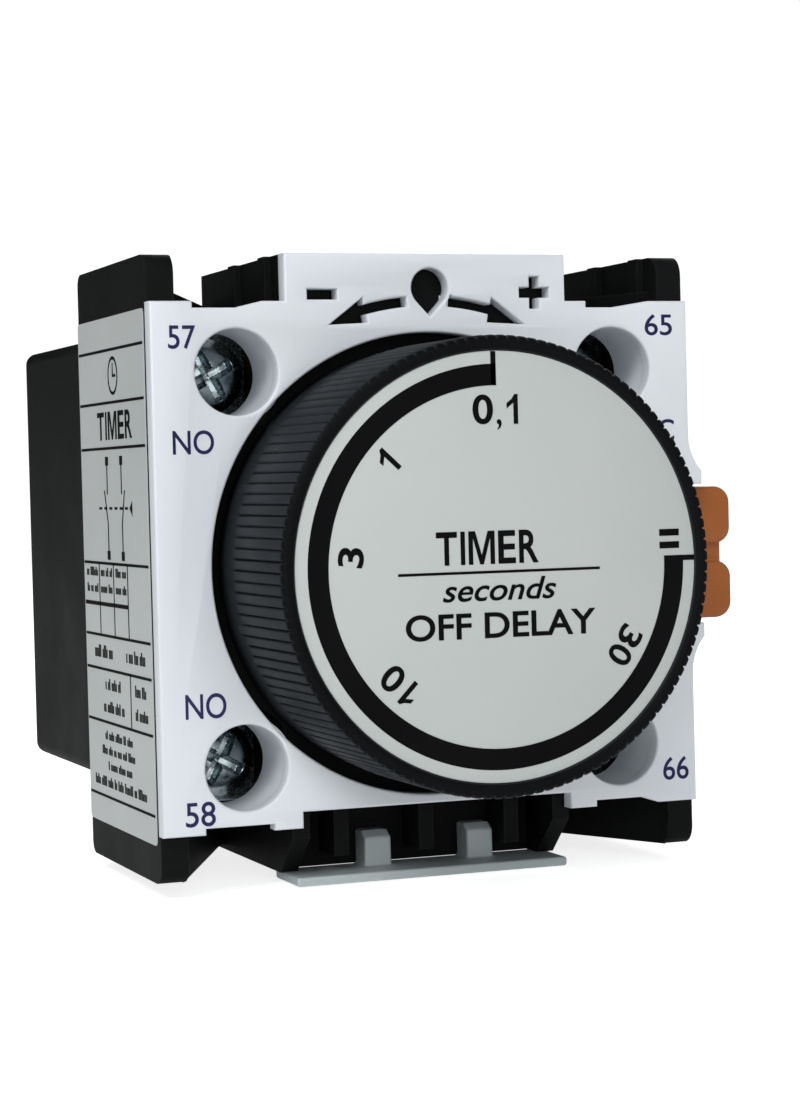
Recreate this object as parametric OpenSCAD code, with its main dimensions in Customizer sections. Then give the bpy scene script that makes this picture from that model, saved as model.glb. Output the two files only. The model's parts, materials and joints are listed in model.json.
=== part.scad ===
// Pneumatic off-delay timer block that clips on the front of a contactor.
// Frame: +Z up, front faces -Y, X across. Origin on the setting knob's axis,
// in the plane of the rear face that rests on the contactor.

/* [Body] */
// width over the two side walls
body_w = 44; // [44:0.5:46]
// rear face to the front face of the cover
body_depth = 42; // [42:0.5:46]
// depth of the rear housing
rear_depth = 20; // [18:0.5:20]
// top of the side walls above the knob axis
wall_top = 23.7; // [23.5:0.1:25]
// bottom of the side walls below the knob axis
wall_bottom = 23.3; // [23.3:0.1:25]
// top of the rear housing above the knob axis
rear_top = 18.4; // [18:0.1:19]
// bottom of the rear housing below the knob axis
rear_bottom = 17; // [16.8:0.1:18]
// half width of the middle block between the wire channels
core_half = 11.5; // [11.3:0.1:11.6]

/* [Cover] */
// thickness of the front cover
cover_t = 1.6; // [1.4:0.1:1.8]
// top edge of the cover above the knob axis
cover_top = 20.1; // [20:0.1:20.5]
// bottom edge of the cover below the knob axis
cover_bottom = 19.65; // [19.4:0.05:20]
// radius of the round opening for the knob
opening_r = 17.7; // [17.5:0.1:17.8]
// radius of each screwdriver guide
guide_r = 3.25; // [3.1:0.05:3.3]
// depth of each screwdriver guide
guide_depth = 6.6; // [5:0.1:6.6]

/* [Terminals] */
// sideways distance of a terminal screw from the knob axis
term_x = 15.4; // [15.3:0.05:15.5]
// height of a terminal screw above or below the knob axis
term_z = 14.8; // [14.6:0.1:15]
// depth of the screw heads behind the cover's front face
head_depth = 7; // [7:0.1:7.4]
// how far a clamp closes
clamp_travel = 2.4; // [1.8:0.1:2.4]

/* [Knob] */
// outer radius of the knob over its knurl
knob_r = 16.75; // [16.4:0.05:16.8]
// how far the knob stands in front of the cover
knob_proud = 13.2; // [12:0.1:14]
// number of knurl teeth
knurl_teeth = 128; // [90:2:150]
// radius of the dial plate
dial_r = 15.6; // [15:0.1:15.7]

/* [Drive] */
// travel of the drive slider that follows the contactor
drive_travel = 4; // [3:0.1:4]
// travel of the bellows plunger and the contact carrier
carrier_travel = 3; // [2.4:0.1:3]

/* [Part to show] */
// one node, or all of them

/* [Hidden] */
$fn = 96;

half_w = body_w / 2;
wall_t = 2.14;                       // side wall thickness
wall_in = half_w - wall_t;           // inner face of a side wall
skin_t = 1.5;                        // general moulded wall
joint_depth = body_depth - rear_depth;
cut = 0.5;                           // how far a cutting tool runs past a face
gap = 0.3;                           // air between parts that move past each other
fit = 0.05;                          // radial running clearance
fore = 0.9;                          // side walls' front edge behind the cover's front face
core_in = core_half - 1.4;           // inside of the middle block
core_bottom = wall_bottom + 0.3;     // the middle block reaches a little lower than the side walls
recess_depth = 7;                    // depth of the pocket behind the bottom clip plate
recess_top = 18.6;                   // roof of that pocket below the knob axis
wedge_in = 12;                       // where the wire guides meet the middle block
wedge_depth = 19.5;
chamber_depth = 20.5;                // front of the terminals' back wall
wedge_start = 19.4;                  // the wire guides begin this far from the knob axis

guide_wall = 0.6;                    // wall of a screwdriver guide
bulkhead_depth = 2.9;                // wall behind the knob's skirt
bulkhead_t = 1.4;
knob_skirt = 2;                      // how far the knob reaches behind the cover's front face
knob_cavity_r = 15;
dial_t = 0.45;
dial_recess = 0.6;
knob_face_t = 1.2;
head_r = 13.4;                       // fixed timing head inside the knob
head_front = -9;
head_wall = 1.5;
stop_deg = 30;                       // width of the knob's stop rib
knob_sweep = 270;
spindle_r = 2;
disc_r = 9;
bellows_back = 7.5;
bellows_r = 9.6;
plunger_t = 1.5;

pivot_depth = 17.3;                  // rocker pivot
arm_up = 7.2;
arm_down = arm_up * carrier_travel / drive_travel;
rocker_rest = asin(drive_travel / 2 / arm_up);
rocker_pin_r = 1;
ball_r = 1.1;                        // round ends of the rocker
slot_play = 0.2;
spring_z = 0.2;                      // height of the return spring's axis

carrier_depth = 12;
carrier_t = 3;
bridge_x = 14.8;
bridge_w = 3.4;
bridge_t = 0.8;
bridge_half = 7;
tip_r = 1.2;
tip_t = 0.6;
tip_z = 5.6;
contact_gap = 0.1;

strip_depth = 13.2;                  // front of the terminal strips
strip_t = 1.2;
strip_w = 3.6;
nut_t = 2.4;
nut_w = 6.4;
washer_w = 7;
washer_t = 1.1;
screw_head_r = 2.95;
screw_head_t = 2.3;
screw_r = 1.75;
screw_len = 6 + clamp_travel;        // the screw goes on through the nut when the clamp is closed

latch_half = 5.3;
latch_x0 = half_w - 1.9;
latch_x1 = half_w - 0.1;
latch_proud = 4.6;
latch_front = 2;
latch_tab = 8;
latch_pivot_x = half_w - 1.07;
latch_pivot_y = -22;
latch_pin_r = 0.6;
hook_reach = 4.2;

FRONT = -body_depth;                 // y of the cover's front face

// ---------- helpers ----------

// box between two limits on each axis; depth is measured back from the cover's front face
module span(x, depth, z) {
    translate([x[0], FRONT + depth[0], z[0]])
        cube([x[1] - x[0], depth[1] - depth[0], z[1] - z[0]]);
}

// children are drawn along local +Z, which points from the front towards the rear
module inward(x, depth, z) {
    translate([x, FRONT + depth, z])
        rotate([-90, 0, 0])
            children();
}

// outline in X and Z, extruded from one depth to another
module sheet(depth, thick) {
    translate([0, FRONT + depth + thick, 0])
        rotate([90, 0, 0])
            linear_extrude(thick)
                children();
}

module rounded_rect(x, z, r) {
    translate([x[0] + r, z[0]]) square([x[1] - x[0] - 2 * r, z[1] - z[0]]);
    translate([x[0], z[0] + r]) square([x[1] - x[0], z[1] - z[0] - 2 * r]);
    for (cx = [x[0] + r, x[1] - r])
        for (cz = [z[0] + r, z[1] - r])
            translate([cx, cz]) circle(r);
}

module mirror_x() {
    children();
    mirror([1, 0, 0]) children();
}

module ring(r_out, r_in, h) {
    difference() {
        cylinder(r = r_out, h = h);
        translate([0, 0, -cut]) cylinder(r = r_in, h = h + 2 * cut);
    }
}

// compression spring along local +Z, its turns drawn as closed rings
module coil(r, wire, turns, length) {
    pitch = (length - 2 * wire) / turns;
    for (i = [0 : turns])
        translate([0, 0, wire + i * pitch])
            rotate_extrude()
                translate([r, 0]) circle(wire, $fn = 24);
}

// ---------- housings ----------

module side_wall_outline() {
    // local x is depth behind the cover's front face, local y is height
    rounded_rect([fore, joint_depth], [-wall_bottom, wall_top], 1.5);
    // the rear corners are a little tighter than the front ones
    rounded_rect([joint_depth - 5, joint_depth], [-wall_bottom, wall_top], 1);
}

module side_wall() {
    difference() {
        translate([wall_in, FRONT, 0])
            rotate([90, 0, 90])
                linear_extrude(wall_t)
                    side_wall_outline();
        span([wall_in - cut, half_w + cut], [0, cover_t], [-cover_bottom - fit, cover_top + fit]);
    }
}

module core_block() {
    difference() {
        span([-core_half, core_half], [cover_t, joint_depth], [-core_bottom, wall_top]);
        span([-core_in, core_in], [bulkhead_depth, joint_depth + cut],
            [-core_bottom + skin_t, wall_top - skin_t]);
        inward(0, cover_t - cut, 0) cylinder(r = opening_r, h = bulkhead_depth - cover_t + cut);
        span([-core_half - cut, core_half + cut], [0, recess_depth], [-core_bottom - cut, -recess_top]);
        // windows for the contact carrier's arms
        span([-core_half - cut, core_half + cut],
            [carrier_depth - carrier_travel - gap, carrier_depth + carrier_t + gap], [-3.6, 3.6]);
    }
    // back and roof of the pocket behind the clip plate
    span([-core_half, core_half], [recess_depth, recess_depth + skin_t], [-core_bottom, -recess_top]);
    span([-core_half, core_half], [cover_t, recess_depth + skin_t], [-recess_top, -recess_top + 0.9]);
    // the block's back above and below the rear housing
    span([-core_half, core_half], [joint_depth - skin_t, joint_depth], [rear_top - skin_t, wall_top]);
    span([-core_half, core_half], [joint_depth - skin_t, joint_depth], [-core_bottom, skin_t - rear_bottom]);
}

// back wall of the terminals and the contact chamber
module chamber_back() {
    span([core_half, wall_in], [chamber_depth, joint_depth], [-wedge_start, wedge_start]);
}

// side cheeks of the pocket, cut back at a slant below
module recess_cheeks() {
    mirror_x()
        translate([core_in, FRONT, 0])
            rotate([90, 0, 90])
                linear_extrude(core_half - core_in)
                    polygon([
                        [cover_t, -recess_top + 0.5],
                        [cover_t, -20.6],
                        [4.9, -core_bottom],
                        [recess_depth + 0.5, -core_bottom],
                        [recess_depth + 0.5, -recess_top + 0.5]
                    ]);
}

module recess_catches() {
    for (x = [-7.6, -0.6, 6.6])
        span([x, x + 1.2], [3.2, recess_depth], [-core_bottom + 1.2, -recess_top]);
}

module wire_guide(z) {
    translate([0, 0, z[0]])
        linear_extrude(z[1] - z[0])
            polygon([
                [wall_in + 0.2, FRONT + fore + 1],
                [wedge_in, FRONT + wedge_depth],
                [core_half - 0.2, FRONT + wedge_depth + 1],
                [core_half - 0.2, FRONT + joint_depth],
                [wall_in + 0.2, FRONT + joint_depth]
            ]);
}

module channel_ribs() {
    for (d = [3.4, 11.2]) {
        span([core_half, core_half + 0.5], [d, d + 1.6], [19, wall_top]);
        span([wall_in - 0.5, wall_in], [d, d + 1.6], [19, wall_top]);
    }
}

module bulkhead() {
    difference() {
        inward(0, bulkhead_depth, 0) cylinder(r = opening_r + 1, h = bulkhead_t);
        inward(0, bulkhead_depth - cut, 0) cylinder(r = bellows_r + gap, h = bulkhead_t + 2 * cut);
        for (x = [-term_x, term_x])
            for (z = [-term_z, term_z])
                inward(x, bulkhead_depth - cut, z) cylinder(r = guide_r + 1.4, h = bulkhead_t + 2 * cut);
        span([wall_in - 1.6, half_w], [0, 10], [-latch_half - gap, latch_half + gap]);
    }
}

module chamber_walls() {
    // walls between a terminal and the contact chamber, slotted for the contact strip
    for (z = [-10, 8.9])
        difference() {
            span([core_half, wall_in], [bulkhead_depth, joint_depth], [z, z + 1.1]);
            span([bridge_x - 2.4, bridge_x + 2.4], [6, joint_depth + cut], [z - cut, z + 1.1 + cut]);
        }
}

module front_housing() {
    color([0.09, 0.09, 0.1])
        difference() {
            union() {
                mirror_x() side_wall();
                core_block();
                recess_catches();
                recess_cheeks();
                mirror_x() wire_guide([wedge_start, 21]);
                mirror_x() wire_guide([-wall_bottom, -wedge_start]);
                mirror_x() channel_ribs();
                bulkhead();
                mirror_x() chamber_walls();
                mirror_x() chamber_back();
                latch_partition();
                rocker_lugs();
                for (p = screw_places())
                    inward(p[0], 15, p[1]) cylinder(r = 2.1, h = joint_depth - 15);
            }
            latch_slot();
            for (p = screw_places())
                inward(p[0], 16, p[1]) cylinder(r = 1, h = rear_depth);
        }
}

module latch_partition() {
    span([wall_in - 2.6, wall_in - 1.6], [bulkhead_depth, joint_depth], [-8.95, 8.95]);
}

module latch_slot() {
    span([wall_in - 1.6, half_w + cut], [cover_t - 0.1, joint_depth + cut],
        [-latch_half - gap, latch_half + gap]);
    translate([latch_pivot_x, latch_pivot_y, -latch_half - 2])
        cylinder(r = latch_pin_r, h = 2 * latch_half + 4, $fn = 32);
}

// the rocker turns on a pin held between these two lugs
module rocker_lugs() {
    mirror_x()
        difference() {
            span([5, core_in], [pivot_depth - 2, joint_depth], [-2, 2]);
            translate([5 - cut, FRONT + pivot_depth, 0])
                rotate([0, 90, 0])
                    cylinder(r = rocker_pin_r, h = 3 + cut, $fn = 32);
        }
}

function screw_places() = [[-8.3, 15.4], [8.3, 15.4], [-8.3, -14.2], [8.3, -14.2]];

module rear_outline() {
    rounded_rect([-half_w, half_w], [-rear_bottom, rear_top], 1);
}

module rear_inside() {
    translate([-half_w + skin_t, -rear_bottom + skin_t])
        square([body_w - 2 * skin_t, rear_top + rear_bottom - 2 * skin_t]);
}

module rear_housing() {
    color([0.08, 0.08, 0.09]) {
        difference() {
            union() {
                difference() {
                    sheet(joint_depth, rear_depth) rear_outline();
                    sheet(joint_depth - cut, rear_depth + cut - 1.8) rear_inside();
                }
                for (p = screw_places())
                    inward(p[0], joint_depth, p[1]) cylinder(r = 2.3, h = rear_depth);
            }
            // window for the drive slider
            span([-3.2, 3.2], [joint_depth, body_depth + cut], [2.6, 9.4]);
            // channel for the release latch
            span([wall_in, half_w + cut], [joint_depth - cut, body_depth + cut],
                [-latch_half - gap, latch_half + gap]);
            for (p = screw_places())
                inward(p[0], joint_depth - cut, p[1]) {
                    cylinder(r = 1.35, h = rear_depth + 2 * cut);
                    translate([0, 0, rear_depth + cut - 1.7]) cylinder(r = 2, h = 1.7 + cut);
                }
        }
        slider_rails();
        latch_floor();
        for (z = [-12, 8.5])
            fixed_hook(z);
    }
}

// rails that guide the drive slider's flange
module slider_rails() {
    mirror_x()
        for (z = [-3.4, 9.8])
            span([4.4, 5.6], [joint_depth, body_depth - 1.8], [z, z + 1.2]);
}

module latch_floor() {
    span([wall_in - 1.1, wall_in], [joint_depth, body_depth - 1.8],
        [-latch_half - 1.5, latch_half + 1.5]);
}

// hook on the left that slides behind the contactor's edge
module fixed_hook(z) {
    translate([-half_w + 1.3, 0, z]) {
        translate([0, -0.5, 0]) cube([1.5, hook_reach + 0.5, 4]);
        translate([0, hook_reach - 1.3, 0]) cube([3, 1.3, 4]);
    }
}

module assembly_screws() {
    color([0.72, 0.73, 0.75])
        for (p = screw_places())
            inward(p[0], 16.4, p[1])
                difference() {
                    union() {
                        cylinder(r = 1, h = body_depth - 16.4 - 1.2);
                        translate([0, 0, body_depth - 16.4 - 1.6]) cylinder(r = 1.9, h = 1.4);
                    }
                    translate([-0.25, -1.6, body_depth - 16.4 - 0.8]) cube([0.5, 3.2, 2]);
                    translate([-1.6, -0.25, body_depth - 16.4 - 0.8]) cube([3.2, 0.5, 2]);
                }
}

// ---------- cover, clip plate and label ----------

module cover_outline() {
    // notch floors lie half a millimetre lower than the tabs beside them
    notch = 0.5;
    square_span([-half_w, half_w], [-cover_bottom + notch, cover_top - notch]);
    mirror([1, 0]) side_tabs(notch);
    side_tabs(notch);
    square_span([-core_half, core_half], [0, wall_top]);
    // ramps at one end of three notches
    ramp([-15.4, -13.3], cover_top, notch);
    ramp([15.6, 18.7], cover_top, notch);
    mirror([0, 1]) ramp([17.2, 18.7], cover_bottom, notch);
    latch_cheek();
    mirror([0, 1]) latch_cheek();
}

module ramp(x, z, drop) {
    polygon([[x[0], z - drop], [x[1], z - drop], [x[1], z]]);
}

// the cover's edge sweeps out beside the release latch
module latch_cheek() {
    r = 4.2;
    cx = half_w + r;
    cz = latch_half + 0.25 + r * 0.93;
    difference() {
        square_span([half_w - 0.5, half_w + 1.1], [latch_half + 0.25, cz]);
        translate([cx, cz]) circle(r);
    }
}

module square_span(x, z) {
    translate([x[0], z[0]]) square([x[1] - x[0], z[1] - z[0]]);
}

module side_tabs(notch) {
    square_span([18.7, half_w], [-cover_bottom, cover_top]);
    square_span([11.05, 13.3], [-cover_bottom, cover_top]);
}

module minus_sign() {
    square_span([-9.7, -7.3], [20.2, 21]);
}

module plus_sign() {
    square_span([7.65, 10.15], [20.35, 21.15]);
    square_span([8.5, 9.3], [19.5, 22]);
}

// pointer: a round eye running down to a point
module teardrop() {
    translate([0.2, 21.1]) circle(1.5);
    polygon([[-1.28, 21.1], [1.68, 21.1], [0.2, 18.9]]);
}

// arrow curved round the knob, pointing away from the pointer
module curved_arrow() {
    r = 20.1;
    difference() {
        circle(r + 0.38);
        circle(r - 0.38);
        square_span([-r - 1, 1.7], [-r - 1, r + 1]);
        square_span([5.1, r + 1], [-r - 1, r + 1]);
        square_span([-r - 1, r + 1], [-r - 1, 0]);
    }
    polygon([[4.9, 18.45], [5.3, 20.15], [8, 18.3]]);
}

module front_cover() {
    color([0.86, 0.88, 0.9]) {
        difference() {
            union() {
                difference() {
                    sheet(0, cover_t) cover_outline();
                    inward(0, -cut, 0) cylinder(r = opening_r, h = cover_t + 2 * cut);
                    span([-11.05, 11.05], [-cut, cover_t + cut], [-cover_bottom - cut, -18.4]);
                    sheet(-cut, cover_t + 2 * cut) {
                        minus_sign();
                        plus_sign();
                        teardrop();
                        mirror_x() curved_arrow();
                    }
                }
                for (x = [-term_x, term_x])
                    for (z = [-term_z, term_z])
                        inward(x, cover_t / 2, z)
                            cylinder(r = guide_r + guide_wall, h = guide_depth - cover_t / 2);
            }
            for (x = [-term_x, term_x])
                for (z = [-term_z, term_z])
                    inward(x, -cut, z) cylinder(r = guide_r, h = guide_depth + 2 * cut);
            inward(0, -cut, 0) cylinder(r = knob_r + gap, h = guide_depth + 2 * cut);
        }
    }
}

module bottom_clip_plate() {
    color([0.8, 0.83, 0.82]) {
        span([-11.2, 11.2], [1.4, recess_depth], [-core_bottom - 0.72, -core_bottom]);
        for (x = [-3.5, 5.1])
            clip_prong(x);
    }
}

module clip_prong(x) {
    // the top is bevelled towards the front
    translate([x - 1.1, FRONT, 0])
        rotate([90, 0, 90])
            linear_extrude(2.2)
                polygon([
                    [4.6, -core_bottom],
                    [recess_depth, -core_bottom],
                    [recess_depth, -20.9],
                    [5.4, -20.9],
                    [4.6, -21.4]
                ]);
}

module rating_label() {
    color([0.9, 0.91, 0.92])
        translate([-half_w - 0.12, FRONT + cover_t + 0.1, -20.4])
            cube([0.12, joint_depth - cover_t - 0.2, 40.1]);
}

// ---------- timing head ----------

module timing_head() {
    depth = bulkhead_depth - head_front;
    color([0.82, 0.79, 0.7])
        inward(0, head_front, 0) {
            difference() {
                cylinder(r = head_r, h = depth);
                translate([0, 0, head_wall]) cylinder(r = head_r - head_wall, h = depth);
                translate([0, 0, -cut]) cylinder(r = spindle_r + fit, h = head_wall + 2 * cut);
                translate([0, 0, -cut]) ring(disc_r - 0.2, 4, 0.7 + cut);
                translate([6.4, 0, -cut]) cylinder(r = 0.5, h = head_wall + 2 * cut, $fn = 24);
                translate([-6.4, 0, -cut]) cylinder(r = 0.8, h = head_wall + 2 * cut, $fn = 24);
            }
            // the knob's stop rib meets this lug at both ends of its sweep
            translate([0, 0, 5])
                rotate([0, 0, knob_sweep + stop_deg + 0.5])
                    rotate_extrude(angle = 360 - knob_sweep - stop_deg - 1)
                        translate([head_r - 0.4, 0]) square([1.7, 2.4]);
        }
}

module filter_pad() {
    color([0.75, 0.72, 0.6])
        inward(0, head_front + 0.1, 0)
            ring(disc_r - 0.4, 4.2, 0.55);
}

// rubber flap that lets air out of the bellows freely and closes the hole on the way back
module check_valve() {
    color([0.2, 0.2, 0.21])
        inward(-6.4, head_front + head_wall + 0.05, 0) {
            cylinder(r = 1.3, h = 0.4, $fn = 32);
            translate([0, 0, -0.75]) cylinder(r = 0.45, h = 0.85, $fn = 24);
        }
}

module bellows_profile(wall) {
    folds = 6;
    top = head_front + head_wall + 0.6;
    step = (bellows_back - top) / folds;
    outer = bellows_r;
    inner = bellows_r - 2;
    polygon(concat(
        [for (i = [0 : folds]) each [[inner, i * step], if (i < folds) [outer, (i + 0.5) * step]]],
        [for (i = [folds : -1 : 0])
            each [[inner - wall, i * step], if (i > 0) [outer - wall, (i - 0.5) * step]]]
    ));
}

module bellows() {
    top = head_front + head_wall + 0.6;
    color([0.16, 0.15, 0.15])
        inward(0, top, 0) {
            rotate_extrude() bellows_profile(0.6);
            ring(bellows_r - 2, bellows_r - 3.2, 0.5);
            translate([0, 0, bellows_back - top - 0.5]) cylinder(r = bellows_r - 2.1, h = 0.5);
        }
}

module bellows_spring() {
    start = head_front + head_wall + 1.2;
    color([0.75, 0.76, 0.78])
        inward(0, start, 0)
            coil(4.6, 0.35, 5, bellows_back - start - 0.7);
}

module bellows_plunger() {
    color([0.85, 0.84, 0.8]) {
        inward(0, bellows_back + 0.02, 0) cylinder(r = 8.6, h = plunger_t);
        inward(0, bellows_back + plunger_t - 0.1, 0)
            cylinder(r = 2, h = carrier_depth - bellows_back - plunger_t - 0.2);
        plunger_fork();
    }
}

// leg that reaches past the carrier and holds the rocker's lower end in a slot
module plunger_fork() {
    y0 = pivot_depth + arm_down * sin(rocker_rest);
    w = ball_r + slot_play;
    z0 = -arm_down - ball_r - 0.8;
    difference() {
        span([-2.2, 2.2], [bellows_back + 0.5, y0 + w + 1.1], [z0, -arm_down + 0.4]);
        span([-2.2 - cut, 2.2 + cut], [y0 - w, y0 + w], [z0 + 0.6, 0]);
    }
}

// ---------- knob ----------

function knurl_point(i) =
    let (r = i % 2 == 0 ? knob_r : knob_r - 0.38, a = 180 * i / knurl_teeth)
    [r * cos(a), r * sin(a)];

module knob() {
    face = -knob_proud;
    cavity = face + dial_recess + knob_face_t;
    color([0.07, 0.07, 0.08])
        inward(0, 0, 0) {
            difference() {
                translate([0, 0, face])
                    linear_extrude(knob_proud + knob_skirt)
                        polygon([for (i = [0 : 2 * knurl_teeth - 1]) knurl_point(i)]);
                translate([0, 0, face - cut]) cylinder(r = dial_r + 0.04, h = dial_recess + cut);
                translate([0, 0, cavity]) cylinder(r = knob_cavity_r, h = 30);
                translate([0, 0, face]) cylinder(r = spindle_r, h = 5);
            }
            translate([0, 0, cavity - 0.1])
                ring(3.6, spindle_r, head_front - cavity - 1.1);
            // stop rib
            translate([0, 0, head_front + 5])
                rotate_extrude(angle = stop_deg)
                    translate([knob_cavity_r - 1.1, 0]) square([1.3, 2.4]);
        }
}

module dial_plate() {
    color([0.77, 0.79, 0.78])
        inward(0, -knob_proud + dial_recess - dial_t, 0)
            cylinder(r = dial_r, h = dial_t);
}

module knob_spindle() {
    start = -knob_proud + dial_recess + 0.1;
    stop = head_front + head_wall + 2.2;
    color([0.78, 0.79, 0.8])
        inward(0, start, 0)
            difference() {
                cylinder(r = spindle_r, h = stop - start);
                translate([0, 0, stop - start - 1.3]) ring(spindle_r + 1, spindle_r - 0.4, 0.6);
            }
}

module spindle_clip() {
    color([0.6, 0.61, 0.63])
        inward(0, head_front + head_wall + 0.9 + 0.05, 0)
            difference() {
                ring(spindle_r + 1.1, spindle_r - 0.38, 0.5);
                translate([0, -0.9, -cut]) cube([6, 1.8, 2]);
            }
}

// disc whose spiral groove sets how far the air has to creep
module metering_disc() {
    color([0.72, 0.58, 0.3])
        inward(0, head_front - 1.1, 0)
            difference() {
                ring(disc_r, spindle_r, 0.9);
                for (i = [0 : 2])
                    translate([0, 0, 0.5])
                        rotate([0, 0, i * 20])
                            rotate_extrude(angle = 300 - i * 30)
                                translate([4.6 + i * 1.4, 0]) square([0.5, 1]);
            }
}

module knob_spring() {
    start = -knob_proud + dial_recess + knob_face_t + 0.05;
    color([0.75, 0.76, 0.78])
        inward(0, start, 0)
            coil(4.6, 0.2, 2, head_front - 1.15 - start);
}

// ---------- drive ----------

module drive_slider() {
    y0 = pivot_depth - arm_up * sin(rocker_rest);
    w = ball_r + slot_play;
    z1 = arm_up + ball_r + 0.9;
    color([0.16, 0.17, 0.19]) {
        difference() {
            span([-2.4, 2.4], [y0 - w - 1.2, joint_depth + 6], [arm_up - 0.9, z1]);
            span([-2.4 - cut, 2.4 + cut], [y0 - w, y0 + w], [0, z1 - 0.6]);
        }
        // body between the rails
        span([-3.8, 3.8], [joint_depth + 4, joint_depth + 9], [-1.3, z1]);
        span([-2.6, 2.6], [joint_depth + 9, body_depth + hook_reach - 0.6], [3, z1 - 0.4]);
        // crook that takes hold of the contactor's moving carrier
        span([-2.6, 2.6], [body_depth + hook_reach - 2, body_depth + hook_reach - 0.6], [0.4, 3.1]);
        inward(0, joint_depth + 9, spring_z) cylinder(r = 1, h = 2, $fn = 32);
    }
}

module return_spring() {
    start = joint_depth + 9.1;
    color([0.75, 0.76, 0.78])
        inward(0, start, spring_z)
            coil(1.55, 0.22, 7, body_depth - 1.85 - start);
}

module reversing_rocker() {
    color([0.2, 0.21, 0.23])
        translate([-2, FRONT + pivot_depth, 0])
            rotate([90 + rocker_rest, 0, 0])
                rotate([0, 90, 0])
                    linear_extrude(4)
                        rocker_outline();
}

module rocker_outline() {
    // local -x is the lower arm's side before the tilt
    difference() {
        union() {
            circle(1.8);
            translate([-0.8, -arm_down]) square([1.6, arm_down + arm_up]);
            translate([0, arm_up]) circle(ball_r);
            translate([0, -arm_down]) circle(ball_r);
        }
        circle(rocker_pin_r + fit);
    }
}

module rocker_pin() {
    color([0.7, 0.71, 0.73])
        translate([-8, FRONT + pivot_depth, 0])
            rotate([0, 90, 0])
                cylinder(r = rocker_pin_r, h = 16, $fn = 32);
}

// bowed leaves between the block's walls and the carrier make it snap across
module snap_spring() {
    bow = 1.2;
    half_chord = (core_in - 4.5) / 2;
    r = (half_chord * half_chord + bow * bow) / 2 / bow;
    color([0.75, 0.76, 0.78])
        mirror_x()
            translate([4.5 + half_chord, FRONT + carrier_depth + 2.4 - r + bow, 2.6])
                difference() {
                    ring(r, r - 0.2, 2.6);
                    translate([-r - 1, -r - 1, -cut]) cube([2 * r + 2, 2 * r + 1 - bow, 3.6]);
                }
}

// ---------- contacts ----------

module contact_carrier() {
    color([0.12, 0.12, 0.13])
        difference() {
            union() {
                span([-17, 17], [carrier_depth, carrier_depth + carrier_t], [-2.2, 2.2]);
                span([-4.4, 4.4], [carrier_depth, carrier_depth + carrier_t], [-3.4, 3]);
            }
            // the plunger's leg passes under the middle, the bridges sit in windows
            for (x = [-bridge_x, bridge_x])
                span([x - bridge_w / 2 - 0.1, x + bridge_w / 2 + 0.1],
                    [carrier_depth + 0.7, carrier_depth + carrier_t - 0.7], [-3, 3]);
        }
}

module bridge(x, depth) {
    span([x - bridge_w / 2, x + bridge_w / 2], [depth, depth + bridge_t], [-bridge_half, bridge_half]);
}

module bridge_contact_no() {
    color([0.78, 0.55, 0.32]) bridge(-bridge_x, carrier_depth + 0.7);
}

module bridge_contact_nc() {
    color([0.78, 0.55, 0.32]) bridge(bridge_x, carrier_depth + carrier_t - 0.7 - bridge_t);
}

module bridge_tips() {
    no_face = carrier_depth + 0.7;
    nc_face = carrier_depth + carrier_t - 0.7;
    color([0.85, 0.85, 0.86])
        for (z = [-tip_z, tip_z]) {
            inward(-bridge_x, no_face - tip_t, z) cylinder(r = tip_r, h = tip_t, $fn = 32);
            inward(bridge_x, nc_face, z) cylinder(r = tip_r, h = tip_t, $fn = 32);
        }
}

module contact_springs() {
    color([0.75, 0.76, 0.78]) {
        inward(-bridge_x, carrier_depth + 0.7 + bridge_t + 0.02, 0) coil(1, 0.15, 2, 0.75);
        inward(bridge_x, carrier_depth + 0.72, 0) coil(1, 0.15, 2, 0.75);
    }
}

// strip from the terminal to the contact tip, stepped forwards or backwards on the way
module contact_strip(side, up, inner_depth) {
    z_in = tip_z - 1.3;
    z_jog = 9.8;
    z_out = term_z + 3.3;
    x0 = side * bridge_x - strip_w / 2;
    mirror([0, 0, up < 0 ? 1 : 0]) {
        span([x0, x0 + strip_w], [inner_depth, inner_depth + strip_t], [z_in, z_jog]);
        span([x0, x0 + strip_w], [min(inner_depth, strip_depth), max(inner_depth, strip_depth) + strip_t],
            [z_jog - 0.6, z_jog + 0.6]);
        difference() {
            span([side * term_x - nut_w / 2, side * term_x + nut_w / 2], [strip_depth, strip_depth + strip_t],
                [z_jog + 0.5, z_out]);
            inward(side * term_x, strip_depth - cut, term_z)
                cylinder(r = screw_r + fit, h = strip_t + 2 * cut);
        }
        span([x0, x0 + strip_w], [strip_depth, strip_depth + strip_t], [z_jog, z_jog + 1]);
    }
}

no_tip_face = carrier_depth + 0.7 - tip_t - carrier_travel - contact_gap;
nc_tip_face = carrier_depth + carrier_t - 0.7 + tip_t + contact_gap;
no_strip_depth = no_tip_face - tip_t - strip_t;
nc_strip_depth = nc_tip_face + tip_t;

module fixed_contact_57() {
    color([0.75, 0.6, 0.3]) contact_strip(-1, 1, no_strip_depth);
}

module fixed_contact_58() {
    color([0.75, 0.6, 0.3]) contact_strip(-1, -1, no_strip_depth);
}

module fixed_contact_65() {
    color([0.75, 0.6, 0.3]) contact_strip(1, 1, nc_strip_depth);
}

module fixed_contact_66() {
    color([0.75, 0.6, 0.3]) contact_strip(1, -1, nc_strip_depth);
}

module fixed_contact_tips() {
    color([0.85, 0.85, 0.86])
        for (z = [-tip_z, tip_z]) {
            inward(-bridge_x, no_tip_face - tip_t, z) cylinder(r = tip_r, h = tip_t, $fn = 32);
            inward(bridge_x, nc_tip_face, z) cylinder(r = tip_r, h = tip_t, $fn = 32);
        }
}

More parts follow.
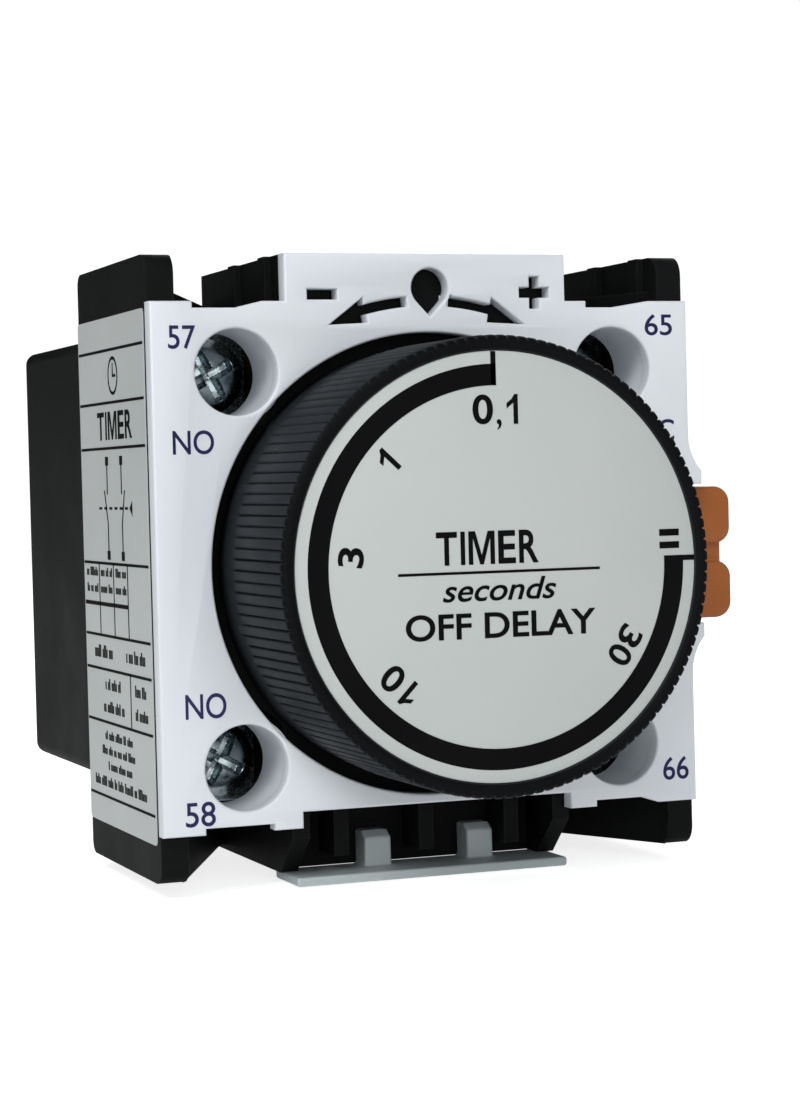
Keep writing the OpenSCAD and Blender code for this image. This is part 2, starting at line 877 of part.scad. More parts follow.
module terminal_nuts() {
    color([0.7, 0.71, 0.73])
        for (x = [-term_x, term_x])
            for (z = [-term_z, term_z])
                difference() {
                    span([x - nut_w / 2, x + nut_w / 2], [strip_depth + strip_t, strip_depth + strip_t + nut_t],
                        [z - nut_w / 2, z + nut_w / 2]);
                    inward(x, strip_depth, z) cylinder(r = screw_r + fit, h = 10);
                }
}

module clamp_washer(x, z) {
    start = head_depth + screw_head_t + 0.1;
    color([0.78, 0.79, 0.8])
        difference() {
            intersection() {
                span([x - washer_w / 2, x + washer_w / 2], [start, start + washer_t],
                    [z - washer_w / 2, z + washer_w / 2]);
                // clipped corners
                inward(x, start - cut, z) cylinder(r = washer_w * 0.62, h = washer_t + 2 * cut);
            }
            inward(x, start - cut, z) cylinder(r = screw_r + fit, h = 4);
        }
}

module clamp_washer_57() {
    clamp_washer(-term_x, term_z);
}

module clamp_washer_58() {
    clamp_washer(-term_x, -term_z);
}

module clamp_washer_65() {
    clamp_washer(term_x, term_z);
}

module clamp_washer_66() {
    clamp_washer(term_x, -term_z);
}

module terminal_screw(x, z) {
    color([0.8, 0.81, 0.82])
        inward(x, head_depth, z)
            difference() {
                union() {
                    cylinder(r = screw_head_r, h = screw_head_t);
                    cylinder(r = screw_r, h = screw_head_t + screw_len);
                }
                translate([-0.45, -screw_head_r - cut, -cut]) cube([0.9, 2 * (screw_head_r + cut), 1.1 + cut]);
                translate([-1.9, -0.45, -cut]) cube([3.8, 0.9, 1.5 + cut]);
            }
}

module terminal_screw_57() {
    terminal_screw(-term_x, term_z);
}

module terminal_screw_58() {
    terminal_screw(-term_x, -term_z);
}

module terminal_screw_65() {
    terminal_screw(term_x, term_z);
}

module terminal_screw_66() {
    terminal_screw(term_x, -term_z);
}

// ---------- release latch ----------

module release_latch() {
    y_back = latch_pivot_y;
    color([0.75, 0.4, 0.18])
        difference() {
            union() {
                translate([latch_x0, FRONT + latch_front, -latch_half])
                    cube([latch_x1 - latch_x0, body_depth - latch_front + hook_reach, 2 * latch_half]);
                // thumb tab in two steps with a groove between them
                translate([latch_x0, FRONT + latch_front, 0.7])
                    cube([half_w + latch_proud - latch_x0, latch_tab, latch_half - 0.7]);
                translate([latch_x0, FRONT + latch_front, -latch_half])
                    cube([half_w + latch_proud - latch_x0, latch_tab, latch_half - 0.7]);
                translate([latch_x0, FRONT + latch_front + 0.6, -1])
                    cube([half_w + latch_proud - 0.7 - latch_x0, latch_tab - 1.2, 2]);
                // hook behind the contactor's edge
                translate([latch_x0 - 1.3, hook_reach - 1.2, -latch_half])
                    cube([1.5, 1.2, 2 * latch_half]);
            }
            translate([latch_pivot_x, y_back, -latch_half - cut])
                cylinder(r = latch_pin_r + fit, h = 2 * latch_half + 2 * cut, $fn = 32);
        }
}

module latch_pin() {
    color([0.7, 0.71, 0.73])
        translate([latch_pivot_x, latch_pivot_y, -latch_half - 1.9])
            cylinder(r = latch_pin_r, h = 2 * latch_half + 3.8, $fn = 32);
}

module latch_spring() {
    color([0.75, 0.76, 0.78])
        translate([wall_in - 1.58, FRONT + 12, 0])
            rotate([0, 90, 0])
                coil(1.7, 0.15, 2, 1.55);
}

rear_housing();
front_housing();
front_cover();
bottom_clip_plate();
rating_label();
timing_head();
filter_pad();
check_valve();
assembly_screws();
latch_pin();
latch_spring();
fixed_contact_57();
fixed_contact_58();
fixed_contact_65();
fixed_contact_66();
fixed_contact_tips();
terminal_nuts();
rocker_pin();
return_spring();
snap_spring();
knob();
dial_plate();
knob_spindle();
metering_disc();
spindle_clip();
knob_spring();
bellows();
bellows_spring();
bellows_plunger();
drive_slider();
reversing_rocker();
contact_carrier();
bridge_contact_no();
bridge_contact_nc();
bridge_tips();
contact_springs();
release_latch();
clamp_washer_57();
clamp_washer_58();
clamp_washer_65();
clamp_washer_66();
terminal_screw_57();
terminal_screw_58();
terminal_screw_65();
terminal_screw_66();
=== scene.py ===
"""Clip-on pneumatic off-delay timer block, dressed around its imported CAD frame. Lengths in metres."""

import json
import math
import random

import bmesh
import bpy
from mathutils import Matrix, Vector


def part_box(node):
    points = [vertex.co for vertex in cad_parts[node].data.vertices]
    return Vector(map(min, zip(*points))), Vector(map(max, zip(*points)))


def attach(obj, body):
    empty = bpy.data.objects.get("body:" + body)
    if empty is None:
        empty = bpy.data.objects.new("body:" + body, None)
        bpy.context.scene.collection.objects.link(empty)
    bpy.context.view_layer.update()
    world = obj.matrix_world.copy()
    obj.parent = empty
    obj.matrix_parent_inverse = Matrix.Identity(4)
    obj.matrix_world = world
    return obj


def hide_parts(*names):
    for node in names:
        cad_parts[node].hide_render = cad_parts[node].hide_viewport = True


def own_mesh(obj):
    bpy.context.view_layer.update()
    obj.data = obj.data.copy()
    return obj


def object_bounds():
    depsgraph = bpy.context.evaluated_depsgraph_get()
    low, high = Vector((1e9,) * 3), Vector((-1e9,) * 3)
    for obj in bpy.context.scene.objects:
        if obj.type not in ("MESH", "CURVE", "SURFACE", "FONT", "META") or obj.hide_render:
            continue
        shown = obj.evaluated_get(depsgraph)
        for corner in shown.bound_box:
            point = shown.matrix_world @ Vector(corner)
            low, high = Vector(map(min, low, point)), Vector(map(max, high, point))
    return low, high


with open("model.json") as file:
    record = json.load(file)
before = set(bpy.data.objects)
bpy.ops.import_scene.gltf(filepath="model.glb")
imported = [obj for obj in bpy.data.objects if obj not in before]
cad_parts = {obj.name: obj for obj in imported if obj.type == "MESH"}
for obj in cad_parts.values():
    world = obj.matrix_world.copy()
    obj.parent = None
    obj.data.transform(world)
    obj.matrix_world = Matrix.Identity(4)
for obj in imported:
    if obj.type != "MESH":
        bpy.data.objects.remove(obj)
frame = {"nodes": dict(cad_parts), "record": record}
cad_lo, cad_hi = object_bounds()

MM = 0.001
TERMINALS = ("57", "58", "65", "66")
PRINT_T = 0.02 * MM                     # thickness of a printed mark
AXIS_R = 0.02                           # smallest radius of a turned profile, in millimetres
GLYPH_WEIGHT = 0.02                     # how much the strokes of the dial's characters are thickened
COVER_WEIGHT = 0.008                    # the same for the cover's marks
TIMER_WIDTHS = (0.95, 0.2, 1.2, 0.8, 0.9)       # shares of the width for each letter of TIMER

# ---------- places taken from the frame ----------

cover_lo, cover_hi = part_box("front_cover")
knob_lo, knob_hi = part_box("knob")
dial_lo, dial_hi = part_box("dial_plate")
label_lo, label_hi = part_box("rating_label")
bellows_lo, bellows_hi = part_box("bellows")
FRONT = cover_lo.y                      # plane of the cover's front face
KNOB_R = knob_hi.z
DIAL_R = dial_hi.z
GUIDES = {m["name"][-2:]: m for m in frame["record"]["mounts"]
          if m["name"].startswith("screwdriver_guide")}
GUIDE_R = GUIDES["57"]["dims"]["r_mm"] * MM
GUIDE_LENGTH = GUIDES["57"]["dims"]["length_mm"] * MM


# ---------- materials ----------

def node(tree, kind, **inputs):
    """Shader node whose inputs are linked to sockets or set to values."""
    made = tree.nodes.new("ShaderNode" + kind)
    for name, value in inputs.items():
        socket = made.inputs[name.replace("_", " ")]
        if isinstance(value, bpy.types.NodeSocket):
            tree.links.new(value, socket)
        else:
            socket.default_value = value
    return made


def noise(tree, place, size, detail=3.0, stretch=None):
    """Noise whose features are about size metres across; stretch scales it per axis."""
    if stretch:
        place = node(tree, "Mapping", Vector=place, Scale=stretch).outputs["Vector"]
    return node(tree, "TexNoise", Vector=place, Scale=1 / size, Detail=detail).outputs["Fac"]


def spread(tree, value, low, high, from_low=0.3, from_high=0.7):
    """Stretches a value's middle range to run from low to high."""
    made = node(tree, "MapRange", Value=value, From_Min=from_low, From_Max=from_high,
                To_Min=low, To_Max=high)
    return made.outputs["Result"]


def blend_colour(tree, share, first, second):
    """First colour where share is 0, second where it is 1; either may be a socket."""
    made = tree.nodes.new("ShaderNodeMix")
    made.data_type = "RGBA"
    tree.links.new(share, made.inputs[0])
    for socket, value in ((made.inputs[6], first), (made.inputs[7], second)):
        if isinstance(value, bpy.types.NodeSocket):
            tree.links.new(value, socket)
        else:
            socket.default_value = (*value, 1)
    return made.outputs[2]


def multiply(tree, first, second):
    """Product of two sockets or numbers."""
    made = tree.nodes.new("ShaderNodeMath")
    made.operation = "MULTIPLY"
    for socket, value in zip(made.inputs, (first, second)):
        if isinstance(value, bpy.types.NodeSocket):
            tree.links.new(value, socket)
        else:
            socket.default_value = value
    return made.outputs[0]


def edge_share(tree, radius):
    """0 on flat faces, rising to 1 along sharp edges."""
    rounded = node(tree, "Bevel", Radius=radius).outputs["Normal"]
    true_normal = node(tree, "NewGeometry").outputs["Normal"]
    dot = tree.nodes.new("ShaderNodeVectorMath")
    dot.operation = "DOT_PRODUCT"
    tree.links.new(rounded, dot.inputs[0])
    tree.links.new(true_normal, dot.inputs[1])
    return spread(tree, dot.outputs["Value"], 1, 0, 0.8, 0.995)


def start_material(name, metallic, specular, ior=1.5):
    """Material with its uniform values set, and the object's own coordinates."""
    material = bpy.data.materials.new(name)
    material.use_nodes = True
    tree = material.node_tree
    shader = tree.nodes["Principled BSDF"]
    shader.inputs["Metallic"].default_value = metallic
    shader.inputs["Specular IOR Level"].default_value = specular
    shader.inputs["IOR"].default_value = ior
    place = tree.nodes.new("ShaderNodeTexCoord").outputs["Object"]
    return material, tree, shader, place


def relief(tree, shader, layers):
    """Bumps stacked on each other, each a height value and a depth in metres."""
    normal = None
    for height, depth in layers:
        bump = node(tree, "Bump", Height=height, Distance=depth, Strength=1.0)
        if normal:
            tree.links.new(normal, bump.inputs["Normal"])
        normal = bump.outputs["Normal"]
    tree.links.new(normal, shader.inputs["Normal"])


def moulded(name, colour, tint, rough, grain=0.22, depth=0.006, specular=0.5, worn=None, wave=0.0, ior=1.5,
            side=None):
    """Moulded plastic: fine spark grain, slow colour drift, slightly rubbed edges.

    A side colour is painted sheen: faces that do not face the front get it as a lighter colour, standing in
    for light caught on the knob's sides.
    """
    material, tree, shader, place = start_material(name, 0.0, specular, ior)
    broad = noise(tree, place, 11 * MM)
    fine = noise(tree, place, grain * MM, 2.0)
    body = blend_colour(tree, spread(tree, broad, 0, 1), colour, tint)
    # the side colour is painted sheen: faces turned away from the front get the lighter side colour
    if side:
        normal = node(tree, "SeparateXYZ", Vector=node(tree, "NewGeometry").outputs["Normal"]).outputs["Y"]
        painted_sheen_share = spread(tree, multiply(tree, normal, normal), 0, 1, 0.15, 0.6)
        body = blend_colour(tree, painted_sheen_share, side, body)
    if worn:
        patchy = noise(tree, place, 2.5 * MM)
        rubbed = multiply(tree, edge_share(tree, 0.25 * MM), spread(tree, patchy, 0.15, 1))
        body = blend_colour(tree, rubbed, body, worn)
    tree.links.new(body, shader.inputs["Base Color"])
    tree.links.new(spread(tree, broad, rough - 0.05, rough + 0.07), shader.inputs["Roughness"])
    layers = [(fine, depth * MM)]
    if wave:
        layers.insert(0, (noise(tree, place, 7 * MM, 1.0), wave * MM))
    relief(tree, shader, layers)
    return material


def metal(name, colour, tint, rough, stretch=(1, 1, 1), specular=0.5, painted_dark_reflection=None):
    """Plated or drawn metal: fine streaks along one direction and cloudy tarnish; dark spots, where given,
    are painted reflections of dark surroundings.
    """
    material, tree, shader, place = start_material(name, 1.0, specular)
    cloud = noise(tree, place, 1.6 * MM, 4.0)
    streak = noise(tree, place, 0.12 * MM, 2.0, stretch)
    body = blend_colour(tree, spread(tree, cloud, 0, 1), colour, tint)
    # dark spots painted onto the metal stand in for reflections of the dark surroundings
    if painted_dark_reflection:
        dark_reflection_spots = noise(tree, place, 0.8 * MM, 2.0)
        body = blend_colour(tree, spread(tree, dark_reflection_spots, 0, 0.85, 0.55, 0.7), body, painted_dark_reflection)
    tree.links.new(body, shader.inputs["Base Color"])
    tree.links.new(spread(tree, streak, rough - 0.08, rough + 0.14), shader.inputs["Roughness"])
    relief(tree, shader, [(cloud, 0.02 * MM), (streak, 0.004 * MM)])
    return material


def film(name, colour, tint, rough, specular=0.4):
    """Printed film: almost flat, with a faint orange-peel surface and dust-fine speckle."""
    material, tree, shader, place = start_material(name, 0.0, specular)
    drift = noise(tree, place, 14 * MM, 2.0)
    speckle = noise(tree, place, 0.15 * MM, 2.0)
    body = blend_colour(tree, spread(tree, drift, 0, 1), colour, tint)
    tree.links.new(body, shader.inputs["Base Color"])
    tree.links.new(spread(tree, speckle, rough - 0.04, rough + 0.06), shader.inputs["Roughness"])
    relief(tree, shader, [(noise(tree, place, 2.2 * MM, 2.0), 0.006 * MM), (speckle, 0.0015 * MM)])
    return material


def felt(name, colour, tint):
    """Matted fibres: strong short-range relief and no gloss."""
    material, tree, shader, place = start_material(name, 0.0, 0.1)
    fibre = noise(tree, place, 0.1 * MM, 5.0, (1, 3, 1))
    body = blend_colour(tree, spread(tree, fibre, 0, 1), colour, tint)
    tree.links.new(body, shader.inputs["Base Color"])
    shader.inputs["Roughness"].default_value = 0.95
    relief(tree, shader, [(fibre, 0.08 * MM)])
    return material


BLACK = moulded("black_plastic", (0.0045, 0.0048, 0.005), (0.0075, 0.008, 0.0082), 0.52,
                depth=0.012, specular=0.2, worn=(0.018, 0.018, 0.019), wave=0.03, ior=1.22)
# The knob's side colour is a painted sheen, lighter on its knurled sides than on its front.
KNOB_BLACK = moulded("knob_plastic", (0.003, 0.0032, 0.0036), (0.0045, 0.0048, 0.0054), 0.45,
                     grain=0.16, depth=0.009, specular=0.12, worn=(0.011, 0.012, 0.014), ior=1.3,
                     side=(0.026, 0.0295, 0.0335))
WHITE = moulded("white_plastic", (0.70, 0.735, 0.775), (0.73, 0.755, 0.785), 0.38,
                grain=0.3, depth=0.003, specular=0.45, worn=(0.80, 0.82, 0.84), wave=0.03)
CLIP_WHITE = moulded("clip_plastic", (0.38, 0.44, 0.44), (0.42, 0.47, 0.47), 0.4,
                     grain=0.35, depth=0.004, worn=(0.75, 0.78, 0.78), wave=0.03)
ORANGE = moulded("orange_plastic", (0.29, 0.083, 0.0165), (0.335, 0.101, 0.022), 0.45,
                 grain=0.25, depth=0.008, specular=0.3, worn=(0.55, 0.22, 0.08), wave=0.02)
CREAM = moulded("cream_plastic", (0.68, 0.62, 0.47), (0.62, 0.55, 0.40), 0.45, worn=(0.78, 0.73, 0.60))
GREY = moulded("grey_plastic", (0.035, 0.038, 0.045), (0.05, 0.053, 0.06), 0.45, worn=(0.09, 0.09, 0.1))
RUBBER = moulded("black_rubber", (0.012, 0.011, 0.011), (0.022, 0.020, 0.019), 0.72, grain=0.12, depth=0.012,
                 specular=0.25)
DIAL = film("dial_film", (0.455, 0.485, 0.47), (0.48, 0.505, 0.49), 0.46)
LABEL = film("label_film", (0.48, 0.51, 0.50), (0.52, 0.545, 0.535), 0.40)
INK = film("black_ink", (0.0025, 0.0025, 0.003), (0.0045, 0.0045, 0.005), 0.6, 0.04)
NAVY = film("navy_ink", (0.013, 0.015, 0.07), (0.024, 0.027, 0.095), 0.55, 0.15)
FELT = felt("felt", (0.45, 0.40, 0.27), (0.30, 0.26, 0.17))
# The screws' dark spots are painted reflections of the dark surroundings on the heads.
ZINC = metal("zinc_plate", (0.50, 0.57, 0.59), (0.16, 0.21, 0.225), 0.16, painted_dark_reflection=(0.012, 0.02, 0.024))
SPRING = metal("spring_steel", (0.55, 0.56, 0.58), (0.42, 0.43, 0.45), 0.28, (6, 1, 1))
BRASS = metal("brass", (0.80, 0.56, 0.22), (0.62, 0.40, 0.14), 0.28, (1, 1, 8))
COPPER = metal("copper", (0.85, 0.45, 0.26), (0.66, 0.30, 0.16), 0.3, (1, 1, 8))
SILVER = metal("silver", (0.86, 0.86, 0.84), (0.70, 0.70, 0.68), 0.25)

BY_SLOT = {
    "black_housing": BLACK, "cover_white": WHITE, "label_film": LABEL, "knob_black": KNOB_BLACK,
    "dial_grey": DIAL, "latch_orange": ORANGE, "cream_plastic": CREAM, "grey_plastic": GREY,
    "zinc_steel": ZINC, "spring_steel": SPRING, "brass_strip": BRASS, "copper_bridge": COPPER,
    "silver_tip": SILVER, "rubber_black": RUBBER, "felt_pad": FELT,
}


# ---------- making pieces ----------

def piece(name, mesh, body, material, stands_for=(), crease=math.radians(35)):
    """Turns a mesh into a piece that rides on a body."""
    mesh.materials.clear()
    mesh.materials.append(material)
    mesh.shade_smooth()
    mesh.set_sharp_from_angle(angle=crease)
    made = bpy.data.objects.new(name, mesh)
    bpy.context.scene.collection.objects.link(made)
    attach(made, body)
    if stands_for:
        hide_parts(*stands_for)
    return made


def mesh_from(points, faces):
    """Mesh of points and faces with all its normals outwards."""
    mesh = bpy.data.meshes.new("m")
    mesh.from_pydata([tuple(p) for p in points], [], faces)
    shape = bmesh.new()
    shape.from_mesh(mesh)
    bmesh.ops.recalc_face_normals(shape, faces=shape.faces)
    shape.to_mesh(mesh)
    shape.free()
    return mesh


def grid_faces(rows, columns, closed_rows):
    """Quads between rows of points, each row closed on itself; the rows may close too."""
    faces = []
    for i in range(rows if closed_rows else rows - 1):
        below, above = i * columns, (i + 1) % rows * columns
        for j in range(columns):
            k = (j + 1) % columns
            faces.append((below + j, below + k, above + k, above + j))
    return faces


def lathe(profile, centre, steps=96):
    """Closed profile of (radius, y) turned about an axis along Y through centre (x, z)."""
    points = []
    for r, y in profile:
        for j in range(steps):
            a = 2 * math.pi * j / steps
            points.append((centre[0] + r * math.cos(a), y, centre[1] + r * math.sin(a)))
    return mesh_from(points, grid_faces(len(profile), steps, True))


def arc(centre, r, start_deg, end_deg, steps=64):
    """Points along an arc in X and Z."""
    made = []
    for i in range(steps + 1):
        a = math.radians(start_deg + (end_deg - start_deg) * i / steps)
        made.append((centre[0] + r * math.cos(a), centre[1] + r * math.sin(a)))
    return made


def circle(centre, r, steps=128):
    return arc(centre, r, 0, 360, steps)[:-1]


def evaluated_mesh(curve):
    """The mesh of a curve or text, made without leaving an object behind."""
    holder = bpy.data.objects.new("holder", curve)
    bpy.context.scene.collection.objects.link(holder)
    graph = bpy.context.evaluated_depsgraph_get()
    mesh = bpy.data.meshes.new_from_object(holder.evaluated_get(graph))
    bpy.data.objects.remove(holder)
    return mesh


def sheet_mesh(outlines, front, thickness, rounding=0.0):
    """Sheet in X and Z with holes; its front face lies at y = front and its edges are rounded."""
    curve = bpy.data.curves.new("sheet", "CURVE")
    curve.dimensions = "2D"
    curve.fill_mode = "BOTH"
    curve.extrude = thickness / 2 - rounding
    curve.bevel_depth = rounding
    curve.bevel_resolution = 2
    curve.offset = -rounding
    for outline in outlines:
        spline = curve.splines.new("POLY")
        spline.points.add(len(outline) - 1)
        for point, (x, z) in zip(spline.points, outline):
            point.co = (x, z, 0, 1)
        spline.use_cyclic_u = True
    mesh = evaluated_mesh(curve)
    mesh.transform(Matrix.Translation((0, front + thickness / 2, 0)) @ Matrix.Rotation(math.pi / 2, 4, "X"))
    return welded(mesh)


def welded(mesh):
    """The mesh with points that coincide made one."""
    shape = bmesh.new()
    shape.from_mesh(mesh)
    bmesh.ops.remove_doubles(shape, verts=shape.verts, dist=0.001 * MM)
    bmesh.ops.recalc_face_normals(shape, faces=shape.faces)
    shape.to_mesh(mesh)
    shape.free()
    return mesh


def joined(meshes):
    """One mesh of several separate ones."""
    shape = bmesh.new()
    for mesh in meshes:
        shape.from_mesh(mesh)
    made = bpy.data.meshes.new("joined")
    shape.to_mesh(made)
    shape.free()
    return made


def lettering(text, low, high, weight=0.0, shear=0.0):
    """Text as a thin mesh in the plane of X and Z that fills the box from low to high."""
    curve = bpy.data.curves.new("text", "FONT")
    curve.body = text
    curve.size = 1
    curve.shear = shear
    curve.offset = weight
    curve.extrude = 0.1
    curve.resolution_u = 6
    mesh = evaluated_mesh(curve)
    xs = [v.co.x for v in mesh.vertices]
    ys = [v.co.y for v in mesh.vertices]
    sx = (high[0] - low[0]) / (max(xs) - min(xs))
    sy = (high[1] - low[1]) / (max(ys) - min(ys))
    middle = ((max(xs) + min(xs)) / 2, (max(ys) + min(ys)) / 2)
    centre = ((low[0] + high[0]) / 2, (low[1] + high[1]) / 2)
    for v in mesh.vertices:
        lift = -PRINT_T if v.co.z > 0 else 0.0
        v.co = (centre[0] + (v.co.x - middle[0]) * sx, lift, centre[1] + (v.co.y - middle[1]) * sy)
    return mesh


M_SHAPE = ((0, 0), (0.17, 0), (0.17, 0.8), (0.43, 0), (0.57, 0), (0.83, 0.8), (0.83, 0), (1, 0), (1, 1),
           (0.74, 1), (0.5, 0.28), (0.26, 1), (0, 1))
ONE_SHAPE = ((0.6, 0), (1, 0), (1, 1), (0.7, 1), (0.45, 0.84), (0, 0.7), (0, 0.52), (0.6, 0.71))


def glyph(char, low, high, weight):
    """One character filling a box; M and 1 are drawn here, as the plain font's own are unlike the dial's."""
    shape = {"M": M_SHAPE, "1": ONE_SHAPE}.get(char)
    if not shape:
        return lettering(char, low, high, weight=weight)
    size = (high[0] - low[0], high[1] - low[1])
    return printed([[(low[0] + x * size[0], low[1] + z * size[1]) for x, z in shape]])


def row_of_glyphs(text, widths, low, high, weight, gap=0.16):
    """Characters side by side, each as wide as its share, filling the box from low to high."""
    unit = (high[0] - low[0]) / (sum(widths) + gap * (len(text) - 1))
    made, x = [], low[0]
    for char, width in zip(text, widths):
        made.append(glyph(char, (x, low[1]), (x + width * unit, high[1]), weight))
        x += (width + gap) * unit
    return joined(made)


def turned(mesh, centre, degrees):
    """Print turned about a point in X and Z."""
    there = Matrix.Translation((centre[0], 0, centre[1]))
    back = Matrix.Translation((-centre[0], 0, -centre[1]))
    return moved(mesh, there @ Matrix.Rotation(math.radians(-degrees), 4, "Y") @ back)


def rectangle(low, high):
    return [(low[0], low[1]), (high[0], low[1]), (high[0], high[1]), (low[0], high[1])]


def printed(outlines):
    """Thin printed shape lying on y = 0."""
    return sheet_mesh(outlines, -PRINT_T, PRINT_T)


def moved(mesh, matrix):
    """The mesh itself, moved by a matrix."""
    mesh.transform(matrix)
    return mesh


def mm(points):
    """Points in X and Z from millimetres to metres."""
    return [(x * MM, z * MM) for x, z in points]


# ---------- carried-over CAD nodes ----------

def dress(name, material, rounding, angle=40):
    """Gives a CAD node its finish and rounds its sharp edges."""
    part = frame["nodes"][name]
    part.data.materials.clear()
    part.data.materials.append(material)
    weld = part.modifiers.new("weld", "WELD")
    weld.merge_threshold = 0.002 * MM
    flat = part.modifiers.new("flat", "DECIMATE")
    flat.decimate_type = "DISSOLVE"
    flat.angle_limit = math.radians(1)
    if rounding:
        bevel = part.modifiers.new("bevel", "BEVEL")
        bevel.width = rounding * MM
        bevel.segments = 3
        bevel.limit_method = "ANGLE"
        bevel.angle_limit = math.radians(angle)
        bevel.miter_outer = "MITER_ARC"
    smooth = part.modifiers.new("smooth", "WEIGHTED_NORMAL")
    smooth.keep_sharp = True


def dress_frame():
    """Gives every CAD node its finish and the rounding of its edges in millimetres."""
    rounding = {"front_housing": 0.45, "rear_housing": 0.6, "release_latch": 0.4, "bottom_clip_plate": 0.22,
                "dial_plate": 0.0}
    for part in frame["record"]["subparts"]:
        name = part["node"]
        finish = CLIP_WHITE if name == "bottom_clip_plate" else BY_SLOT[part["material_slot"]]
        dress(name, finish, rounding.get(name, 0.08))


# ---------- cover ----------

def cover_outline():
    """Outer edge of the cover, in millimetres, anticlockwise from the lower left corner."""
    left, right = cover_lo.x / MM, -cover_lo.x / MM
    top_tab, low = 20.1, cover_lo.z / MM
    high = cover_hi.z / MM
    drop = 0.5
    core, post, slot_low = 11.5, 11.05, -18.4
    bottom = [(left, low), (-18.7, low), (-18.7, low + drop), (-13.3, low + drop), (-13.3, low),
              (-post, low), (-post, slot_low), (post, slot_low), (post, low), (13.3, low),
              (13.3, low + drop), (17.2, low + drop), (18.7, low), (right, low)]
    cheek = latch_cheek(right)
    up_right = [(x, -z) for x, z in reversed(cheek)] + cheek
    top = [(right, top_tab), (18.7, top_tab), (15.6, top_tab - drop), (13.3, top_tab - drop),
           (13.3, top_tab), (core, top_tab), (core, high), (-core, high), (-core, top_tab),
           (-13.3, top_tab), (-15.4, top_tab - drop), (-18.7, top_tab - drop), (-18.7, top_tab),
           (left, top_tab)]
    return bottom + up_right + top


def latch_cheek(right):
    """The cover's edge sweeping out beside the release latch, upper side, from the latch upwards."""
    sweep, reach = 4.2, 1.1
    foot = 5.55
    cz = foot + sweep * 0.93
    first = 180 + math.degrees(math.asin(math.sqrt(sweep ** 2 - (sweep - reach) ** 2) / sweep))
    return [(right, foot), (right + reach, foot)] + arc((right + sweep, cz), sweep, first, 180, 12)


def pointer_eye():
    """Round eye running down to a point."""
    centre, r, tip = (0.2, 21.1), 1.5, (0.2, 18.9)
    swing = math.degrees(math.acos(r / (centre[1] - tip[1])))
    return arc(centre, r, -90 + swing, 270 - swing, 40) + [tip]


def curved_arrow(side):
    """Arrow bent round the knob, pointing away from the eye."""
    r, half = 20.1, 0.38
    near, far = math.degrees(math.acos(1.7 / r)), math.degrees(math.acos(5.1 / r))
    shape = arc((0, 0), r + half, near, far, 12) + [(5.3, 20.35), (8, 18.3), (4.9, 18.45)]
    shape += arc((0, 0), r - half, far, near, 12)
    return [(side * x, z) for x, z in shape]


def plus_outline():
    """Plus sign cut through the cover's upper edge."""
    cx, cz, arm, half, up = 8.9, 20.75, 1.25, 0.4, 1.25
    return [(cx - arm, cz - half), (cx - half, cz - half), (cx - half, cz - up), (cx + half, cz - up),
            (cx + half, cz - half), (cx + arm, cz - half), (cx + arm, cz + half), (cx + half, cz + half),
            (cx + half, cz + up), (cx - half, cz + up), (cx - half, cz + half), (cx - arm, cz + half)]


def guide_tube(centre):
    """Round screwdriver guide behind the cover."""
    wall, seat = 0.6 * MM, 0.7 * MM
    back = FRONT + GUIDE_LENGTH
    lip = 0.12 * MM
    profile = [(GUIDE_R, FRONT + seat), (GUIDE_R, back - lip), (GUIDE_R + lip, back),
               (GUIDE_R + wall - lip, back), (GUIDE_R + wall, back - lip), (GUIDE_R + wall, FRONT + seat)]
    return lathe(profile, centre, 64)


def make_cover():
    """Front plate with its openings, and the four guides behind it."""
    opening, thick, rounding = 17.7, 1.6, 0.2
    minus_sign = rectangle((-9.7, 20.2), (-7.3, 21.0))
    holes = [mm(circle((0, 0), opening, 192)), mm(minus_sign),
             mm(plus_outline()), mm(pointer_eye()), mm(curved_arrow(1)), mm(curved_arrow(-1))]
    places = [(GUIDES[n]["pos_m"][0], GUIDES[n]["pos_m"][2]) for n in TERMINALS]
    holes += [circle(place, GUIDE_R, 64) for place in places]
    plate = sheet_mesh([mm(cover_outline())] + holes, FRONT, thick * MM, rounding * MM)
    tubes = [guide_tube(place) for place in places]
    piece("cover_moulding", joined([plate] + tubes), "housing", WHITE, ["front_cover"])


def make_cover_prints():
    """Terminal numbers and kinds of contact, each with the corners of its box in millimetres."""
    marks = {"57": ((-20.66, 16.54), (-18.54, 18.28)), "58": ((-20.3, -18.95), (-17.98, -17.1)),
             "65": ((18.32, 17.37), (20.71, 19.05)), "66": ((19.07, -17.93), (21.32, -16.10))}
    kinds = [("NO", ((-20.51, 8.72), (-17.33, 10.51))),
             ("NO", ((-20.09, -10.94), (-16.92, -9.05))),
             ("NC", ((17.6, 9.0), (20.7, 10.75)))]
    made = [lettering(text, *mm(box), weight=COVER_WEIGHT) for text, box in [*marks.items(), *kinds]]
    prints = moved(joined(made), Matrix.Translation((0, FRONT, 0)))
    piece("cover_markings", prints, "housing", NAVY)


# ---------- knob and dial ----------

def tooth_height(share):
    """Height of a knurl tooth over its width, share from 0 to 1: round crest, narrow groove."""
    crest, fall = 0.76, 0.08
    if share < crest:
        return 1 - fall * (abs(share / crest - 0.5) * 2) ** 3
    return (1 - fall) * (abs((share - crest) / (1 - crest) - 0.5) * 2) ** 1.4


